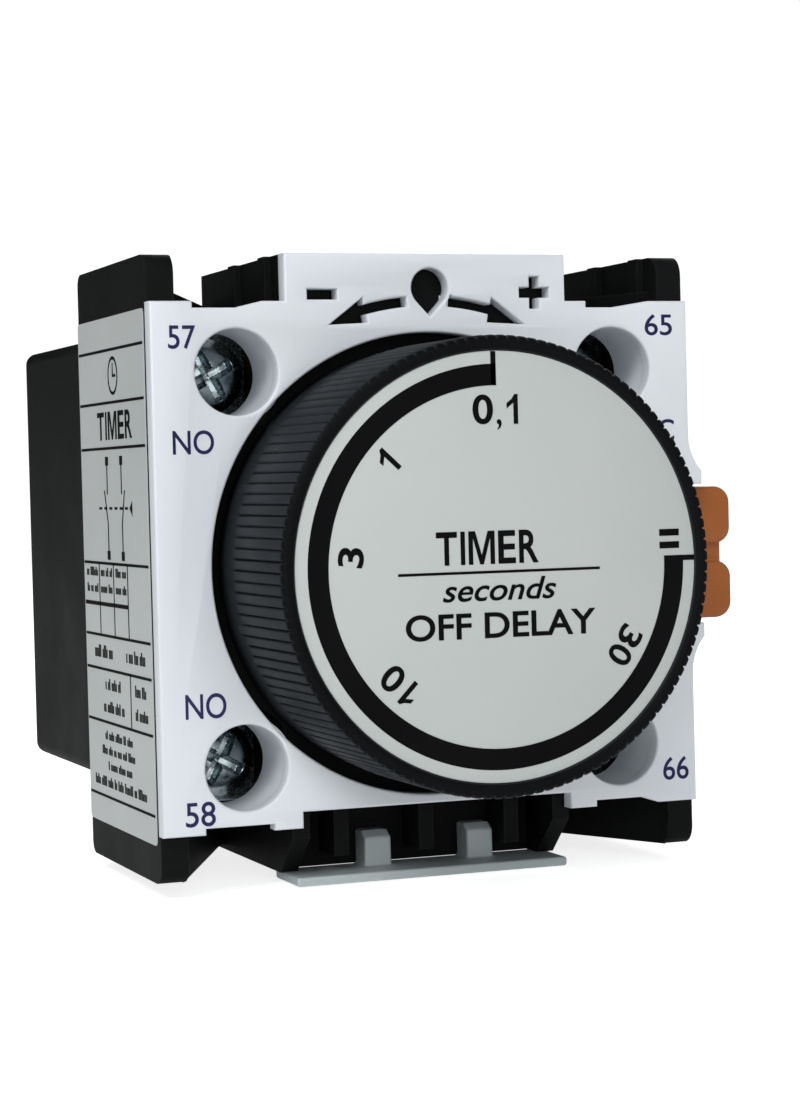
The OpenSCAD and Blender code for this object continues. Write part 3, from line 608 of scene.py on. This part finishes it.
def make_knob():
    """Knurled cup with the dial's recess in front and the spindle's hub inside."""
    teeth, steps_per_tooth = 128, 10
    depth = 0.3 * MM
    front, back = knob_lo.y, knob_hi.y
    recess = dial_hi.y - knob_lo.y
    face_t, cavity_r, hub_r, bore_r = 1.2 * MM, 15 * MM, 3.6 * MM, 2 * MM
    cavity = front + recess + face_t
    hub_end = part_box("metering_disc")[0].y - 0.02 * MM
    seat_r = DIAL_R + 0.04 * MM
    edge = 0.14 * MM
    knurl_end = FRONT - 1.9 * MM
    rng = random.Random(11)
    groove = [rng.uniform(0.8, 1.1) for _ in range(teeth)]
    reach = [rng.uniform(-0.25, 0.25) * MM + (0.8 * MM if t % 13 == 4 else 0) for t in range(teeth)]
    # each row: radius, y, how deep the knurl is cut, how much its end wanders
    rows = [(bore_r, front + recess, 0, 0), (seat_r, front + recess, 0, 0),
            (seat_r, front + edge, 0, 0), (seat_r + edge, front, 0, 0),
            (KNOB_R - 0.42 * MM, front, 0, 0), (KNOB_R - 0.16 * MM, front + 0.06 * MM, 0.75, 0),
            (KNOB_R, front + 0.3 * MM, 1, 0), (KNOB_R, knurl_end - 0.5 * MM, 1, 1),
            (KNOB_R - 0.05 * MM, knurl_end, 0.45, 1), (KNOB_R - 0.16 * MM, knurl_end + 0.35 * MM, 0, 0.5),
            (KNOB_R - 0.16 * MM, back - edge, 0, 0), (KNOB_R - 0.16 * MM - edge, back, 0, 0),
            (cavity_r + edge, back, 0, 0), (cavity_r, back - edge, 0, 0), (cavity_r, cavity, 0, 0),
            (hub_r, cavity, 0, 0), (hub_r, hub_end, 0, 0), (bore_r, hub_end, 0, 0)]
    columns = teeth * steps_per_tooth
    points = []
    for r, y, cut, wander in rows:
        for j in range(columns):
            t, share = j // steps_per_tooth, (j % steps_per_tooth) / steps_per_tooth
            a = 2 * math.pi * j / columns
            rj = r - depth * cut * groove[t] * (1 - tooth_height(share))
            points.append((rj * math.cos(a), y + wander * reach[t], rj * math.sin(a)))
    shell = mesh_from(points, grid_faces(len(rows), columns, True))
    piece("knurled_knob", joined([shell, stop_rib(cavity_r)]), "setting_knob",
          KNOB_BLACK, ["knob"], math.radians(50))


def stop_rib(cavity_r):
    """Short curved rib inside the knob that meets the timing head's lug."""
    sweep, height, length = 30, 1.1 * MM, 2.4 * MM
    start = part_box("timing_head")[0].y + 5 * MM
    outer = arc((0, 0), cavity_r + 0.05 * MM, 0, -sweep, 16)
    inner = arc((0, 0), cavity_r - height, -sweep, 0, 16)
    return sheet_mesh([outer + inner], start, length, 0.1 * MM)


def make_dial():
    """Domed-edge film disc that covers the knob's face."""
    t = dial_hi.y - dial_lo.y
    rows = [(AXIS_R * MM, dial_lo.y), (DIAL_R - 0.1 * MM, dial_lo.y),
            (DIAL_R - 0.02 * MM, dial_lo.y + 0.04 * MM), (DIAL_R, dial_lo.y + 0.12 * MM),
            (DIAL_R, dial_lo.y + t), (AXIS_R * MM, dial_lo.y + t)]
    piece("dial_face", lathe(rows, (0, 0), 192), "setting_knob", DIAL, ["dial_plate"])


def dial_number(text, widths, centre, size, turn_deg, gap=0.16):
    """Number of a given width and height about its centre, turned so that its top points outwards."""
    low = mm([(centre[0] - size[0] / 2, centre[1] - size[1] / 2)])[0]
    high = mm([(centre[0] + size[0] / 2, centre[1] + size[1] / 2)])[0]
    return turned(row_of_glyphs(text, widths, low, high, GLYPH_WEIGHT, gap), mm([centre])[0], turn_deg)


def make_dial_prints():
    """Scale band with its end marks, the scale's numbers and the words in the middle."""
    # the words' places are measured from the cover's middle, and the dial's centre is this far right of it
    off = 0.64
    band_in, band_out = 13.1, 14.65
    edge_r = DIAL_R / MM - 0.05
    tick, bar_t = 0.4, 0.5
    rule = rectangle((-7.25 - off, -0.42), (8.51 - off, -0.22))
    band = arc((0, 0), band_out, 90, 360, 160) + arc((0, 0), band_in, 360, 90, 160)
    shapes = [printed([mm(band)]),
              printed([mm(rectangle((-tick, band_in), (0, edge_r)))]),
              printed([mm(rectangle((band_in, 0), (edge_r, tick)))]),
              printed([mm(rule)])]
    shapes += [printed([mm(rectangle((12.75, z), (14.35, z + bar_t)))]) for z in (0.92, 1.85)]
    title_box = mm(((-4.3 - off, 0.25), (3.66 - off, 2.65)))
    shapes += [row_of_glyphs("TIMER", TIMER_WIDTHS, *title_box, GLYPH_WEIGHT),
               glyph("0", *mm(((-1.24 - off, 10.3), (0.35 - off, 12.45))), GLYPH_WEIGHT),
               glyph(",", *mm(((0.62 - off, 9.9), (1.0 - off, 10.65))), 0.0),
               glyph("1", *mm(((1.42 - off, 10.3), (2.3 - off, 12.45))), GLYPH_WEIGHT),
               lettering("seconds", *mm(((-3.9 - off, -2.4), (5.0 - off, -0.75))), weight=0.012, shear=0.28),
               lettering("OFF DELAY", *mm(((-6.77 - off, -5.1), (8.08 - off, -3.2))), weight=0.018),
               dial_number("1", (1,), (-8.46, 7.78), (0.92, 2.0), 47),
               dial_number("3", (1,), (-11.4, 1.07), (1.4, 1.95), 84),
               dial_number("10", (0.6, 1), (-7.95, -8.15), (2.95, 2.0), 136, 0.42),
               dial_number("30", (1, 1), (9.75, -6.1), (2.9, 1.9), 238)]
    prints = moved(joined(shapes), Matrix.Translation((0, dial_lo.y, 0)))
    piece("dial_markings", prints, "setting_knob", INK)


# ---------- side label ----------

def on_label(x):
    """Matrix that lays a print made in X and Z onto the left side; its X runs from the rear to the front."""
    return Matrix.Translation((x, 0, 0)) @ Matrix.Rotation(-math.pi / 2, 4, "Z")


def word_marks(low, high, rng):
    """Neutral line of word-like blocks between two corners."""
    stroke, pitch, space = 0.3, 0.42, 0.35
    made = []
    x = low[0]
    height = high[1] - low[1]
    while x < high[0] - stroke:
        for _ in range(rng.randint(2, 6)):
            if x > high[0] - stroke:
                break
            tall = height * rng.choice((0.7, 0.7, 1.0))
            made.append(rectangle((x, low[1]), (x + stroke, low[1] + tall)))
            x += pitch
        x += space
    return made


def label_lines():
    """Ruled lines and the frame of cells, in millimetres from the cover's front face and the knob's axis."""
    rear, front, middle = 21.7, 1.9, 8.1
    t = 0.11
    made = []
    for z in (17.15, 13.05, 9.5, 0.45, -5.3, -8.0, -12.2, -18.2):
        made.append(rectangle((front, z - t), (rear, z + t)))
    made.append(rectangle((middle, -2.85 - t), (rear, -2.75 + t)))
    for z in ((-5.3, 0.45), (-12.2, -8.0)):
        made.append(rectangle((middle - t, z[0]), (middle + t, z[1])))
    made.append(rectangle((12.4 - t, -5.3), (12.4 + t, 0.45)))
    made.append(rectangle((16.9 - t, -5.3), (16.9 + t, 0.45)))
    return made


def contact_symbol():
    """Two switch contacts with a delay link, drawn as thin strokes."""
    t = 0.13
    made = []
    for x, blade in ((13.6, 0.9), (9.2, -0.9)):
        for z in (8.5, 1.1):
            made.append(rectangle((x - 0.45, z - 0.35), (x + 0.45, z + 0.35)))
        made.append(rectangle((x - t, 5.9), (x + t, 8.3)))
        made.append(rectangle((x - t, 1.4), (x + t, 3.7)))
        made.append([(x - t, 3.6), (x + t, 3.6), (x + blade + t, 6.2), (x + blade - t, 6.2)])
    for i in range(6):
        made.append(rectangle((15.4 - i * 1.6, 4.7), (16.3 - i * 1.6, 4.9)))
    made.append([(6.1, 5.4), (6.9, 4.8), (6.1, 4.2)])
    return made


def make_label():
    """Film label on the left side with its ruled table, contact symbol and neutral marks."""
    sheet_t = 0.08 * MM
    rounding = 0.4
    depth = [(p - FRONT) / MM for p in (label_lo.y, label_hi.y)]
    low, high = (depth[0], label_lo.z / MM), (depth[1], label_hi.z / MM)
    corners = []
    turns = ((high[0], high[1], 0), (low[0], high[1], 90), (low[0], low[1], 180), (high[0], low[1], 270))
    for cx, cz, a in turns:
        sx, sz = (1 if cx == high[0] else -1), (1 if cz == high[1] else -1)
        corners += arc((cx - sx * rounding, cz - sz * rounding), rounding, a, a + 90, 6)
    body = sheet_mesh([mm(label_side(corners))], 0, sheet_t)
    face = label_lo.x + PRINT_T
    piece("label_sheet", moved(body, on_label(face)), "housing", LABEL, ["rating_label"])
    rng = random.Random(5)
    marks = label_lines() + contact_symbol()
    for low, high in (((17.4, -0.6), (21.3, 0.1)), ((17.4, -1.9), (21.3, -1.2)), ((12.9, -0.6), (16.5, 0.1)),
                      ((12.9, -1.9), (16.5, -1.2)), ((8.6, -0.6), (12.0, 0.1)), ((8.6, -1.9), (12.0, -1.2)),
                      ((13.4, -7.1), (19.4, -6.1)), ((3.6, -7.1), (9.4, -6.1)),
                      ((11.2, -9.6), (16.2, -8.7)), ((10.2, -11.4), (17.2, -10.5)),
                      ((3.6, -9.6), (6.8, -8.7)), ((3.2, -11.4), (7.2, -10.5)),
                      ((8.0, -13.6), (16.5, -12.9)), ((7.4, -14.8), (17.5, -14.1)),
                      ((8.4, -16.0), (16.0, -15.3)), ((4.2, -17.4), (20.4, -16.6))):
        marks += word_marks(low, high, rng)
    shapes = [printed([mm(label_side(m))]) for m in marks]
    title = row_of_glyphs("TIMER", TIMER_WIDTHS, *mm(label_side(((16.2, 10.15), (5.6, 12.35)))), GLYPH_WEIGHT)
    prints = moved(joined(shapes + [title] + clock_sign()), on_label(face))
    piece("label_markings", prints, "housing", INK)


def clock_sign():
    """Round clock face with two hands."""
    centre, r_out, r_in = (11, 15.1), 1.5, 1.25
    hands = [rectangle((11.12, 15.0), (10.88, 16.1)), rectangle((11.0, 14.98), (10.1, 15.2))]
    rim = [circle(mm(label_side([centre]))[0], r * MM, 48) for r in (r_out, r_in)]
    return [printed(rim)] + [printed([mm(label_side(hand))]) for hand in hands]


def label_side(points):
    """From depth behind the cover's front face to the print's own X, which runs to the front."""
    return [(-(x + FRONT / MM), z) for x, z in points]


# ---------- release latch ----------

def rounded_box(low, high, radius):
    """Rectangle in X and Z whose two outer corners, on the +X side, are rounded."""
    x0, z0, x1, z1 = *low, *high
    shape = [(x0, z0)] + arc((x1 - radius, z0 + radius), radius, -90, 0, 8)
    return shape + arc((x1 - radius, z1 - radius), radius, 0, 90, 8) + [(x0, z1)]


def make_latch():
    """Lever with a two-step thumb tab: two pads with a groove and a shallower neck between them."""
    lo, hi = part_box("release_latch")
    plate_x = cover_hi.x - 1.1 * MM - 0.1 * MM
    inner = plate_x - 1.8 * MM
    half, corner, groove, soft = hi.z, 1.3 * MM, 0.7 * MM, 0.35 * MM
    tab_length, neck_in, hook_t, edge = 8 * MM, 0.6 * MM, 1.2 * MM, 0.15 * MM
    neck = rectangle((inner, -1 * MM), (hi.x - 0.7 * MM, 1 * MM))
    arm = rectangle((inner, -half), (plate_x, half))
    hook = rectangle((lo.x, -half), (inner + 0.3 * MM, half))
    parts = [sheet_mesh([rounded_box((inner, groove), (hi.x, half), corner)], lo.y, tab_length, soft),
             sheet_mesh([rounded_box((inner, -half), (hi.x, -groove), corner)], lo.y, tab_length, soft),
             sheet_mesh([neck], lo.y + neck_in, tab_length - 2 * neck_in, 0.1 * MM),
             sheet_mesh([arm], lo.y, hi.y - lo.y, edge),
             sheet_mesh([hook], hi.y - hook_t, hook_t, edge)]
    piece("latch_lever", joined(parts), "latch", ORANGE, ["release_latch"])


# ---------- terminal screws ----------

def recess_depth(x, z, turn_deg):
    """Depth of the cross recess at a point of the head, in millimetres from the screw's axis."""
    half_width, reach, soft = 0.5, 2.1, 0.28
    turn = math.radians(turn_deg)
    u = x * math.cos(turn) + z * math.sin(turn)
    w = z * math.cos(turn) - x * math.sin(turn)
    deepest = 0
    for along, across in ((u, w), (w, u)):
        inside = min((half_width - abs(across)) / soft, (reach - abs(along)) / soft, 1)
        taper = 1.35 - 0.6 * abs(along) / reach
        deepest = max(deepest, max(inside, 0) * taper)
    return deepest


def make_screw(terminal, turn_deg):
    """Pan head with a cross recess on a plain shank."""
    name = "terminal_screw_" + terminal
    lo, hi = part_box(name)
    centre = (GUIDES[terminal]["pos_m"][0], GUIDES[terminal]["pos_m"][2])
    head, shank, head_t, dome = (hi.z - centre[1]) / MM, 1.75, 2.3, 0.8
    length = (hi.y - lo.y) / MM
    columns, rings = 144, 44
    face_r = head - 0.25
    rows = [(max(face_r * i / rings, AXIS_R), dome * (i / rings) ** 2) for i in range(rings + 1)]
    rows += [(head - 0.06, dome + 0.14), (head, dome + 0.4), (head, head_t), (shank, head_t),
             (shank, length - 0.4), (shank - 0.4, length), (AXIS_R, length)]
    points = []
    for i, (r, back) in enumerate(rows):
        for j in range(columns):
            a = 2 * math.pi * j / columns
            x, z = r * math.cos(a), r * math.sin(a)
            sunk = recess_depth(x, z, turn_deg) if i <= rings else 0
            points.append((centre[0] + x * MM, lo.y + (back + sunk) * MM, centre[1] + z * MM))
    mesh = mesh_from(points, grid_faces(len(rows), columns, True))
    piece("cross_screw_" + terminal, mesh, "screw_" + terminal, ZINC, [name])


def make_screws():
    """The four terminal screws, each left at its own turn."""
    for terminal, turn_deg in zip(TERMINALS, (28, 62, 12, 47)):
        make_screw(terminal, turn_deg)


# ---------- springs and bellows ----------

def helix(centre, start, end, r, wire, turns, axis):
    """Wound wire with closed end turns, from start to end along Y or X."""
    steps, around = 28, 8
    total = int(turns * steps)
    points = []
    for i in range(total + 1):
        share = i / total
        rise = min(max((share - 0.5 / turns) / (1 - 1 / turns), 0), 1)
        a = 2 * math.pi * turns * share
        for k in range(around):
            b = 2 * math.pi * k / around
            rr = r + wire * math.cos(b)
            along = start + wire + (end - start - 2 * wire) * rise + wire * math.sin(b)
            u, w = rr * math.cos(a), rr * math.sin(a)
            if axis == "Y":
                points.append((centre[0] + u, along, centre[2] + w))
            else:
                points.append((along, centre[1] + u, centre[2] + w))
    faces = grid_faces(total + 1, around, False)
    faces += [tuple(range(around)), tuple(range(total * around, (total + 1) * around))]
    return mesh_from(points, faces)


def make_spring(name, body, wire, turns, axis="Y"):
    """Winds a coil spring in the box of its CAD node and stands it in for the node."""
    lo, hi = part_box(name)
    mid = (lo + hi) / 2
    if axis == "Y":
        mesh = helix(mid, lo.y, hi.y, (hi.z - lo.z) / 2 - wire, wire, turns, "Y")
    else:
        mesh = helix(mid, lo.x, hi.x, (hi.z - lo.z) / 2 - wire, wire, turns, "X")
    return piece("wound_" + name, mesh, body, SPRING, [name])


def make_springs():
    """Coil springs on the housing, the snap spring, and the knob's own spring."""
    back = make_spring("return_spring", "housing", 0.22 * MM, 7)
    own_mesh(back)
    inner = make_spring("bellows_spring", "housing", 0.35 * MM, 5)
    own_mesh(inner)
    side = make_spring("latch_spring", "housing", 0.15 * MM, 3, "X")
    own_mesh(side)
    make_spring("knob_spring", "setting_knob", 0.2 * MM, 2.5)
    leaf_mesh = welded(frame["nodes"]["snap_spring"].data.copy())
    leaf = piece("bowed_snap_spring", leaf_mesh, "housing", SPRING, ["snap_spring"])
    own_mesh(leaf)


def make_bellows():
    """Folded rubber cup, closed by a lid at its moving end."""
    folds = 6
    wall = 0.6 * MM
    outer = bellows_hi.x
    inner = outer - 2 * MM
    length = bellows_hi.y - bellows_lo.y
    mid, swing = (outer + inner) / 2, (outer - inner) / 2
    steps = folds * 8
    skin = []
    for i in range(steps + 1):
        y = bellows_lo.y + length * i / steps
        skin.append((mid - swing * math.cos(2 * math.pi * folds * i / steps), y))
    lining = [(r - wall, y) for r, y in reversed(skin)]
    centre_r = AXIS_R * MM
    end_t = 0.5 * MM
    lid = [(inner - wall, bellows_hi.y - end_t), (centre_r, bellows_hi.y - end_t), (centre_r, bellows_hi.y)]
    body = skin + lid[::-1] + [p for p in lining if p[1] < bellows_hi.y - end_t]
    made = piece("ribbed_bellows", lathe(body, (0, 0), 96), "housing", RUBBER, ["bellows"])
    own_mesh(made)


# ---------- studio ----------

def make_camera():
    """Camera 0.2 m in front of the cover, to the left and turned towards the knob; angles in radians."""
    yaw, pitch, roll = -0.359359, -0.027413, -0.025235
    distance = 0.200107
    shift_right, shift_up = -2.64 * MM, 1.0178 * MM
    focal, sensor = 85.36, 36.0
    right = Vector((math.cos(yaw), math.sin(yaw), 0))
    ahead = Vector((-math.sin(yaw) * math.cos(pitch), math.cos(yaw) * math.cos(pitch), math.sin(pitch)))
    up = right.cross(ahead)
    across = right * math.cos(roll) + up * math.sin(roll)
    above = up * math.cos(roll) - right * math.sin(roll)
    eye = Vector((0, FRONT, 0)) - ahead * distance + across * shift_right + above * shift_up
    data = bpy.data.cameras.new("camera")
    data.lens, data.sensor_width = focal, sensor
    data.clip_start, data.clip_end = 0.01, 20
    camera = bpy.data.objects.new("camera", data)
    camera.matrix_world = Matrix.Translation(eye) @ Matrix((across, above, -ahead)).transposed().to_4x4()
    bpy.context.scene.collection.objects.link(camera)
    bpy.context.scene.camera = camera


def soft_light(name, place, size, power):
    """Area light aimed at the middle of the body; its power is in watts."""
    data = bpy.data.lights.new(name, "AREA")
    data.shape = "RECTANGLE"
    data.size, data.size_y = size
    data.energy = power
    lamp = bpy.data.objects.new(name, data)
    lamp.location = place
    lamp.rotation_mode = "QUATERNION"
    lamp.rotation_quaternion = (Vector((0, FRONT / 2, 0)) - Vector(place)).to_track_quat("-Z", "Y")
    bpy.context.scene.collection.objects.link(lamp)


def make_world():
    """White backdrop that lights the object softly from the front left and much less from elsewhere."""
    world = bpy.data.worlds.new("studio")
    world.use_nodes = True
    bpy.context.scene.world = world
    tree = world.node_tree
    tree.nodes.clear()
    seen = node(tree, "Background", Color=(1, 1, 1, 1), Strength=1.05)
    direction = tree.nodes.new("ShaderNodeTexCoord").outputs["Generated"]
    parts = node(tree, "SeparateXYZ", Vector=direction).outputs
    depth_share = spread(tree, parts["Y"], 0.6, 0.05, -0.4, 0.6)
    side_share = spread(tree, parts["X"], 1.1, 0.45, -0.4, 0.6)
    level = multiply(tree, depth_share, side_share)
    lighting = node(tree, "Background", Color=(0.94, 0.97, 1, 1), Strength=level)
    path = tree.nodes.new("ShaderNodeLightPath")
    mix = tree.nodes.new("ShaderNodeMixShader")
    tree.links.new(path.outputs["Is Camera Ray"], mix.inputs[0])
    tree.links.new(lighting.outputs[0], mix.inputs[1])
    tree.links.new(seen.outputs[0], mix.inputs[2])
    tree.links.new(mix.outputs[0], tree.nodes.new("ShaderNodeOutputWorld").inputs["Surface"])


def make_floor():
    """Plain pale floor just under the object."""
    half, drop = 3.0, 0.3 * MM
    z = cad_lo.z - drop
    mesh = mesh_from([(-half, -half, z), (half, -half, z), (half, half, z), (-half, half, z)], [(0, 1, 2, 3)])
    material, tree, shader, place = start_material("floor", 0.0, 0.1)
    tone = spread(tree, noise(tree, place, 60 * MM), 0, 1)
    tree.links.new(blend_colour(tree, tone, (0.9, 0.9, 0.9), (0.93, 0.93, 0.93)), shader.inputs["Base Color"])
    shader.inputs["Roughness"].default_value = 0.9
    shader.inputs["Emission Color"].default_value = (1, 1, 1, 1)
    seen = tree.nodes.new("ShaderNodeLightPath").outputs["Is Camera Ray"]
    tree.links.new(spread(tree, seen, 0.25, 0.8, 0, 1), shader.inputs["Emission Strength"])
    mesh.materials.append(material)
    floor = bpy.data.objects.new("floor", mesh)
    bpy.context.scene.collection.objects.link(floor)


def make_studio():
    """Backdrop, floor and four soft lights."""
    bpy.context.scene.view_settings.view_transform = "Standard"
    make_world()
    make_floor()
    soft_light("key", (-0.34, -0.42, 0.44), (0.28, 0.22), 1.9)
    soft_light("front", (-0.05, -0.6, 0.05), (0.5, 0.4), 0.95)
    soft_light("right", (0.45, 0.05, 0.25), (0.3, 0.3), 0.25)
    soft_light("rear", (0.3, 0.5, 0.4), (0.4, 0.3), 0.8)


make_camera()
make_studio()
dress_frame()
make_cover()
make_cover_prints()
make_knob()
make_dial()
make_dial_prints()
make_label()
make_latch()
make_screws()
make_springs()
make_bellows()
